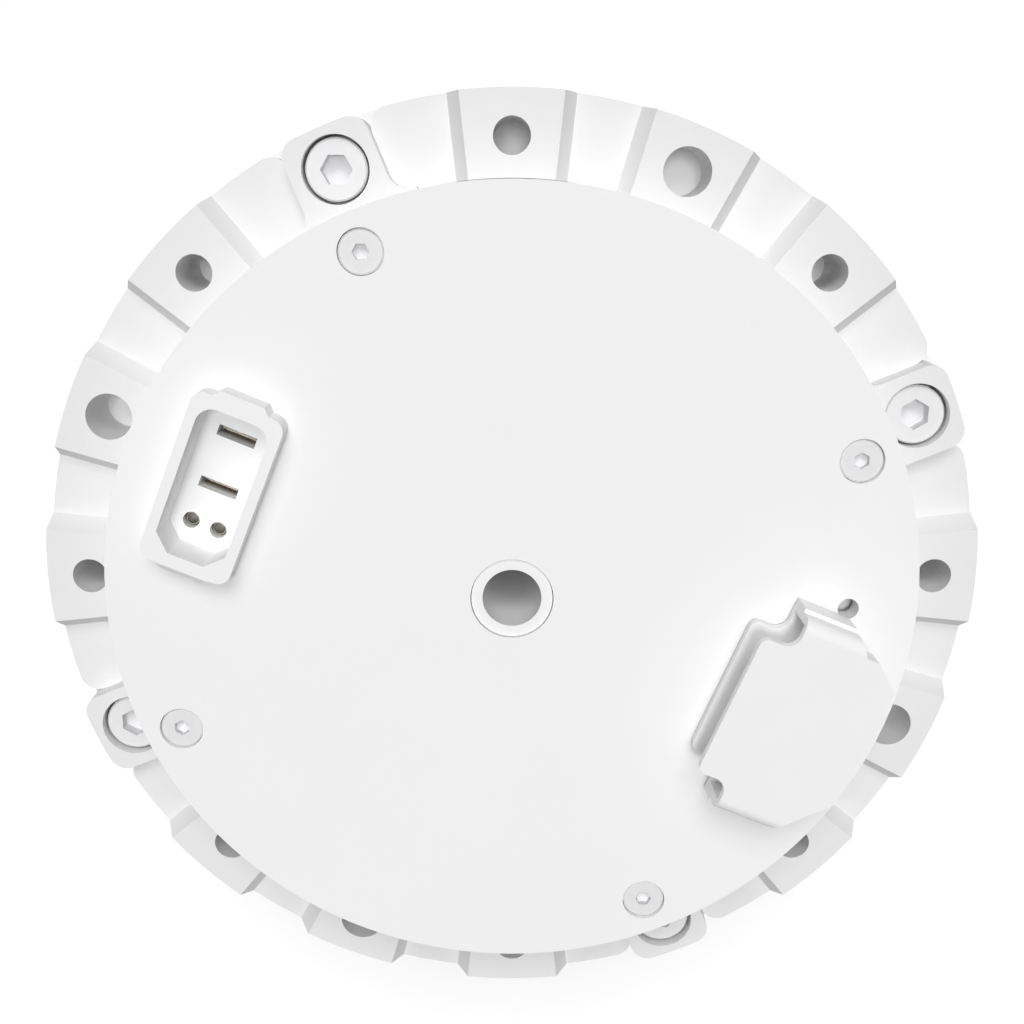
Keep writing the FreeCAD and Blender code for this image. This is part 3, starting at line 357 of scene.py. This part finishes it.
def satinMetal(name, look):
    # ground, plated or drawn metal: a faintly cloudy tone and a fine grain with no direction
    material, tree, place = startMaterial(name)
    grain = addNode(tree, "ShaderNodeTexNoise", {
        "Scale": 1 / (look["grainMm"] * millimetre),
        "Detail": 3.0,
    }, {"Vector": place})
    dents = addNode(tree, "ShaderNodeBump", {
        "Strength": 0.4,
        "Distance": look["grainDepthMm"] * millimetre,
    }, {"Height": grain.outputs[0]})
    surface = addNode(tree, "ShaderNodeBsdfPrincipled", {"Metallic": look["metallic"]}, {
        "Base Color": cloudyColour(tree, place, look),
        "Roughness": unevenSheen(tree, grain.outputs[0], look, smoother=0.05, rougher=0.07),
        "Normal": dents.outputs[0],
    })
    addNode(tree, "ShaderNodeOutputMaterial", None, {"Surface": surface.outputs[0]})
    return material


screwLook = {  # zinc flake: pale and nearly matt, with a little metal in it
    "colour": "#e4e4e5",
    "drift": "#dfdfe0",
    "metallic": 0.10,
    "roughness": 0.66,
    "cloudMm": 0.8,
    "grainMm": 0.25,
    "grainDepthMm": 0.006,
}

gearLook = {  # ground and oiled case-hardened steel: dark and even
    "colour": "#8d8f93",
    "drift": "#7f8186",
    "metallic": 1.0,
    "roughness": 0.30,
    "cloudMm": 2.5,
    "grainMm": 0.2,
    "grainDepthMm": 0.004,
}

bearingLook = {  # lapped bearing steel: bright, with soft mirror images
    "colour": "#c2c4c8",
    "drift": "#b4b6ba",
    "metallic": 1.0,
    "roughness": 0.16,
    "cloudMm": 2.5,
    "grainMm": 0.3,
    "grainDepthMm": 0.002,
}

magnetLook = {  # nickel plate: a warm grey metal
    "colour": "#b9b7b0",
    "drift": "#aaa8a2",
    "metallic": 1.0,
    "roughness": 0.24,
    "cloudMm": 2.5,
    "grainMm": 0.2,
    "grainDepthMm": 0.004,
}

canLook = {  # drawn aluminium can: satin grey
    "colour": "#b5b7ba",
    "drift": "#a5a7aa",
    "metallic": 1.0,
    "roughness": 0.30,
    "cloudMm": 2.5,
    "grainMm": 0.2,
    "grainDepthMm": 0.004,
}

contactLook = {  # tin-plated spring bronze: a pale warm metal, softly bright
    "colour": "#bdb9b0",
    "drift": "#aeaaa1",
    "metallic": 1.0,
    "roughness": 0.38,
    "cloudMm": 1.0,
    "grainMm": 0.15,
    "grainDepthMm": 0.002,
}


def mouldedPlastic(name, look):
    # moulded plastic or rubber: even colour with the mould's fine spark-eroded texture
    material, tree, place = startMaterial(name)
    grain = addNode(tree, "ShaderNodeTexNoise", {
        "Scale": 1 / (look["grainMm"] * millimetre),
        "Detail": 2.0,
    }, {"Vector": place})
    dents = addNode(tree, "ShaderNodeBump", {
        "Strength": 0.4,
        "Distance": look["grainDepthMm"] * millimetre,
    }, {"Height": grain.outputs[0]})
    surface = addNode(tree, "ShaderNodeBsdfPrincipled", {"Metallic": 0.0, "IOR": look["ior"]}, {
        "Base Color": cloudyColour(tree, place, look),
        "Roughness": unevenSheen(tree, grain.outputs[0], look, smoother=0.05, rougher=0.06),
        "Normal": dents.outputs[0],
    })
    addNode(tree, "ShaderNodeOutputMaterial", None, {"Surface": surface.outputs[0]})
    return material


nylonLook = {  # glass-filled nylon: white with a dull satin
    "colour": "#f6f6f6",
    "drift": "#f3f3f3",
    "roughness": 0.62,
    "ior": 1.53,
    "cloudMm": 6.0,
    "grainMm": 0.30,
    "grainDepthMm": 0.008,
}

guideLook = {  # milky polycarbonate: smooth and a little glossier than its surroundings
    "colour": "#eeefee",
    "drift": "#e9ebea",
    "roughness": 0.22,
    "ior": 1.58,
    "cloudMm": 1.5,
    "grainMm": 0.30,
    "grainDepthMm": 0.002,
}

epoxyLook = {  # moulded chip epoxy: near-black and matt
    "colour": "#1b1b1d",
    "drift": "#222225",
    "roughness": 0.50,
    "ior": 1.55,
    "cloudMm": 6.0,
    "grainMm": 0.30,
    "grainDepthMm": 0.008,
}

sealLook = {  # nitrile rubber: dark grey, dull
    "colour": "#242425",
    "drift": "#1c1c1d",
    "roughness": 0.62,
    "ior": 1.52,
    "cloudMm": 6.0,
    "grainMm": 0.20,
    "grainDepthMm": 0.010,
}


def stackedSheets(name, look):
    # punched electrical steel, seen as the edges of thin sheets in a stack
    material, tree, place = startMaterial(name)
    height = addNode(tree, "ShaderNodeSeparateXYZ", None, {0: place})
    turns = addNode(tree, "ShaderNodeMath", {
        "operation": "MULTIPLY",
        1: 2 * math.pi / (look["sheetMm"] * millimetre),
    }, {0: height.outputs["Z"]})
    edges = addNode(tree, "ShaderNodeMath", {"operation": "SINE"}, {0: turns.outputs[0]})
    band = addNode(tree, "ShaderNodeMapRange", {
        "From Min": -1.0,
        "From Max": 0.2,
    }, {"Value": edges.outputs[0]})
    shade = addNode(tree, "ShaderNodeMix", {
        "data_type": "RGBA",
        6: linear(look["gap"]),
        7: linear(look["colour"]),
    }, {0: band.outputs[0]})
    dents = addNode(tree, "ShaderNodeBump", {
        "Strength": 0.6,
        "Distance": look["gapDepthMm"] * millimetre,
    }, {"Height": edges.outputs[0]})
    surface = addNode(tree, "ShaderNodeBsdfPrincipled", {
        "Metallic": 1.0,
        "Roughness": look["roughness"],
    }, {"Base Color": shade.outputs[2], "Normal": dents.outputs[0]})
    addNode(tree, "ShaderNodeOutputMaterial", None, {"Surface": surface.outputs[0]})
    return material


sheetLook = {
    "colour": "#6b6e73",
    "gap": "#3f4246",
    "roughness": 0.45,
    "sheetMm": 0.70,  # real sheets are near 0.35, drawn in pairs to show
    "gapDepthMm": 0.03,
}


def woundWire(name, look):
    # enamelled copper laid turn beside turn: warm brown lines with a lacquer gloss, and painted
    # shade in the grooves between the turns
    material, tree, place = startMaterial(name)
    radius = distanceFromAxis(tree, place)
    turns = addNode(tree, "ShaderNodeMath", {
        "operation": "MULTIPLY",
        1: 2 * math.pi / (look["wireMm"] * millimetre),
    }, {0: radius})
    wires = addNode(tree, "ShaderNodeMath", {"operation": "SINE"}, {0: turns.outputs[0]})
    band = addNode(tree, "ShaderNodeMapRange", {
        "From Min": -1.0,
        "From Max": 0.3,
    }, {"Value": wires.outputs[0]})
    # the gap colour is painted shade, laid into the grooves between turns where the bump is lowest
    shade = addNode(tree, "ShaderNodeMix", {
        "data_type": "RGBA",
        6: linear(look["gap"]),
        7: linear(look["colour"]),
    }, {0: band.outputs[0]})
    dents = addNode(tree, "ShaderNodeBump", {
        "Strength": 0.9,
        "Distance": look["wireDepthMm"] * millimetre,
    }, {"Height": wires.outputs[0]})
    surface = addNode(tree, "ShaderNodeBsdfPrincipled", {
        "Metallic": look["metallic"],
        "Roughness": look["roughness"],
        "Coat Weight": look["lacquer"],
    }, {"Base Color": shade.outputs[2], "Normal": dents.outputs[0]})
    addNode(tree, "ShaderNodeOutputMaterial", None, {"Surface": surface.outputs[0]})
    return material


wireLook = {
    "colour": "#b5602c",
    # gap: painted shade for the grooves between turns
    "gap": "#6d3414",
    "metallic": 0.85,
    "roughness": 0.28,
    "lacquer": 0.6,
    "wireMm": 0.60,
    "wireDepthMm": 0.12,
}


def solderMask(name, look):
    # green lacquer over copper traces on glass fibre board: a glossy skin with faint raised lines
    material, tree, place = startMaterial(name)
    cells = addNode(tree, "ShaderNodeTexVoronoi", {
        "feature": "DISTANCE_TO_EDGE",
        "Scale": 1 / (look["traceMm"] * millimetre),
    }, {"Vector": place})
    band = addNode(tree, "ShaderNodeMapRange", {
        "From Min": 0.04,
        "From Max": 0.07,
    }, {"Value": cells.outputs["Distance"]})
    shade = addNode(tree, "ShaderNodeMix", {
        "data_type": "RGBA",
        6: linear(look["trace"]),
        7: linear(look["colour"]),
    }, {0: band.outputs[0]})
    dents = addNode(tree, "ShaderNodeBump", {
        "Strength": 0.3,
        "Distance": look["traceDepthMm"] * millimetre,
    }, {"Height": band.outputs[0]})
    surface = addNode(tree, "ShaderNodeBsdfPrincipled", {
        "Metallic": 0.0,
        "Roughness": look["roughness"],
        "IOR": look["ior"],
        "Coat Weight": look["gloss"],
    }, {"Base Color": shade.outputs[2], "Normal": dents.outputs[0]})
    addNode(tree, "ShaderNodeOutputMaterial", None, {"Surface": surface.outputs[0]})
    return material


maskLook = {
    "colour": "#1d4b30",
    "trace": "#2d6a45",
    "roughness": 0.32,
    "ior": 1.52,
    "gloss": 0.3,
    "traceMm": 1.6,
    "traceDepthMm": 0.02,
}

slotMaterials = {
    "case_metal": powderCoat("powderCoatedAluminiumCase", caseLook),
    "cover_metal": powderCoat("powderCoatedAluminiumCover", coverLook),
    "flange_metal": turnedAluminium("clearAnodisedTurnedAluminium", flangeLook),
    "inner_metal": turnedAluminium("machinedAluminium", insideLook),
    "screw_steel": satinMetal("zincFlakeCoatedSteel", screwLook),
    "gear_steel": satinMetal("groundGearSteel", gearLook),
    "bearing_steel": satinMetal("lappedBearingSteel", bearingLook),
    "lamination_steel": stackedSheets("laminatedElectricalSteel", sheetLook),
    "magnet_nickel": satinMetal("nickelPlatedMagnet", magnetLook),
    "coil_copper": woundWire("enamelledCopperWire", wireLook),
    "capacitor_metal": satinMetal("drawnAluminiumCan", canLook),
    "board_green": solderMask("solderMaskOnGlassFibre", maskLook),
    "chip_black": mouldedPlastic("mouldedChipEpoxy", epoxyLook),
    "socket_plastic": mouldedPlastic("mouldedNylonSocket", nylonLook),
    "plug_plastic": mouldedPlastic("mouldedNylonPlug", nylonLook),
    "light_plastic": mouldedPlastic("milkyPolycarbonate", guideLook),
    "seal_rubber": mouldedPlastic("mouldedNitrileRubber", sealLook),
}
contactMetal = satinMetal("tinPlatedBronze", contactLook)
print("finishes made:", len(slotMaterials) + 1)

for part in frame["record"]["subparts"]:
    mesh = nodes[part["node"]].data
    mesh.materials.clear()
    mesh.materials.append(slotMaterials[part["material_slot"]])
print("solids dressed")


# new pieces, their sizes in millimetres and degrees

def finishedMesh(name, shape):
    # faces outwards, and corners and faces in the same order at every run
    bmesh.ops.recalc_face_normals(shape, faces=shape.faces)
    corners = sorted(shape.verts, key=lambda corner: tuple(corner.co))
    cornerRank = {corner: rank for rank, corner in enumerate(corners)}
    faces = sorted(shape.faces, key=lambda face: sorted(cornerRank[v] for v in face.verts))
    faceRank = {face: rank for rank, face in enumerate(faces)}
    shape.faces.sort(key=faceRank.get)
    shape.verts.sort(key=cornerRank.get)
    mesh = bpy.data.meshes.new(name)
    shape.to_mesh(mesh)
    shape.free()
    return mesh


# spring contacts that stand in the slots and round holes of both sockets

socketContacts = {
    "sockets": {"power": (-27.9, 40.6), "bus": (27.9, 38.2)},  # middle line and foot height
    "leafRows": (4.1, -0.9),
    "leafWidth": 3.0,
    "leafHeight": 1.6,
    "leafGap": 0.56,
    "leafPinch": 0.12,
    "leafFlare": 0.05,
    "leafWaistAt": 0.7,  # shares of the leaf's height
    "leafBendAt": 0.25,
    "stripThickness": 0.10,
    "footGap": 0.02,
    "tubeRow": -4.65,
    "tubeSpacing": 2.54,
    "tubeOuter": 0.64,
    "tubeInner": 0.46,
    "tubeHeight": 2.0,
    "tubeRound": (0.08, 0.12),  # in and down, outside the mouth
    "tubeLeadIn": (0.06, 0.15),  # out and down, inside the mouth
    "tubeSteps": 24,
}

mergeDistance = 1e-7  # metres


def foldedLeaf(shape, x, y, foot):
    # a strip that goes up one side of the slot, across its foot and up the other side
    look = socketContacts
    half = look["leafGap"] / 2
    waist = half - look["leafPinch"]
    mouth = half + look["leafFlare"]
    high = look["leafHeight"]
    side = [
        (mouth, high),
        (waist, look["leafWaistAt"] * high),
        (half, look["leafBendAt"] * high),
        (half, 0),
    ]
    fold = side + [(-across, up) for across, up in reversed(side)]
    start = x - look["leafWidth"] / 2
    corners = [
        shape.verts.new(Vector((start, y + across, foot + up)) * millimetre)
        for across, up in fold
    ]
    edges = [shape.edges.new(pair) for pair in zip(corners, corners[1:])]
    pulled = bmesh.ops.extrude_edge_only(shape, edges=edges)["geom"]
    far = [item for item in pulled if isinstance(item, bmesh.types.BMVert)]
    bmesh.ops.translate(shape, verts=far, vec=(look["leafWidth"] * millimetre, 0, 0))
    faces = [item for item in pulled if isinstance(item, bmesh.types.BMFace)]
    bmesh.ops.recalc_face_normals(shape, faces=faces)
    bmesh.ops.solidify(shape, geom=faces, thickness=look["stripThickness"] * millimetre)


def turnedTube(shape, x, y, foot):
    # a small turned sleeve with a bevelled mouth
    look = socketContacts
    outer, inner, high = look["tubeOuter"], look["tubeInner"], look["tubeHeight"]
    roundIn, roundDown = look["tubeRound"]
    leadOut, leadDown = look["tubeLeadIn"]
    wall = [
        (inner, 0),
        (outer, 0),
        (outer, high - roundDown),
        (outer - roundIn, high),
        (inner + leadOut, high),
        (inner, high - leadDown),
    ]
    corners = [shape.verts.new(Vector((x + out, y, foot + up)) * millimetre) for out, up in wall]
    edges = [shape.edges.new(pair) for pair in zip(corners, corners[1:] + corners[:1])]
    bmesh.ops.spin(
        shape,
        geom=corners + edges,
        cent=Vector((x, y, foot)) * millimetre,
        axis=(0, 0, 1),
        angle=2 * math.pi,
        steps=look["tubeSteps"],
        use_merge=True,
    )


def makeContacts(name, middle, foot):
    look = socketContacts
    shape = bmesh.new()
    stand = foot + look["stripThickness"] + look["footGap"]
    for row in look["leafRows"]:
        foldedLeaf(shape, middle, row, stand)
    for side in (-0.5, 0.5):
        turnedTube(shape, middle + side * look["tubeSpacing"], look["tubeRow"], stand)
    bmesh.ops.remove_doubles(shape, verts=shape.verts, dist=mergeDistance)
    mesh = finishedMesh(name, shape)
    mesh.materials.append(contactMetal)
    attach(showObject(name, mesh), "case")


for socketName, (middle, foot) in socketContacts["sockets"].items():
    makeContacts(socketName + "_contacts", middle, foot)
print("socket contacts made")


# screw threads in the bolt holes of the output face

outputThreads = {
    "circle": 19.0,
    "count": 8,
    "firstAngle": 22.5,
    "wallRadius": 1.66,  # a little behind the hole's wall
    "crestRadius": 1.56,
    "ridgeWidth": 0.34,
    "crestWidth": 0.08,
    "pitch": 0.7,
    "low": 0.4,
    "turns": 6.5,
    "stepsPerTurn": 20,
}


def makeThreads():
    look = outputThreads
    shape = bmesh.new()
    steps = int(look["turns"] * look["stepsPerTurn"])
    rise = look["pitch"] / look["stepsPerTurn"] * millimetre
    for number in range(look["count"]):
        angle = math.radians(look["firstAngle"] + 360 / look["count"] * number)
        x = look["circle"] * math.cos(angle)
        y = look["circle"] * math.sin(angle)
        ridge = [
            (look["wallRadius"], -look["ridgeWidth"] / 2),
            (look["crestRadius"], -look["crestWidth"] / 2),
            (look["crestRadius"], look["crestWidth"] / 2),
            (look["wallRadius"], look["ridgeWidth"] / 2),
        ]
        corners = [
            shape.verts.new(Vector((x + out, y, look["low"] + up)) * millimetre)
            for out, up in ridge
        ]
        edges = list(shape.faces.new(corners).edges)
        turned = bmesh.ops.spin(
            shape,
            geom=corners + edges,
            cent=Vector((x, y, 0)) * millimetre,
            dvec=(0, 0, rise),
            axis=(0, 0, 1),
            angle=2 * math.pi * look["turns"],
            steps=steps,
        )
        last = [item for item in turned["geom_last"] if isinstance(item, bmesh.types.BMEdge)]
        bmesh.ops.contextual_create(shape, geom=last)
    mesh = finishedMesh("output_threads", shape)
    mesh.materials.append(slotMaterials["flange_metal"])
    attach(showObject("output_threads", mesh), "output")


makeThreads()
print("threads cut")
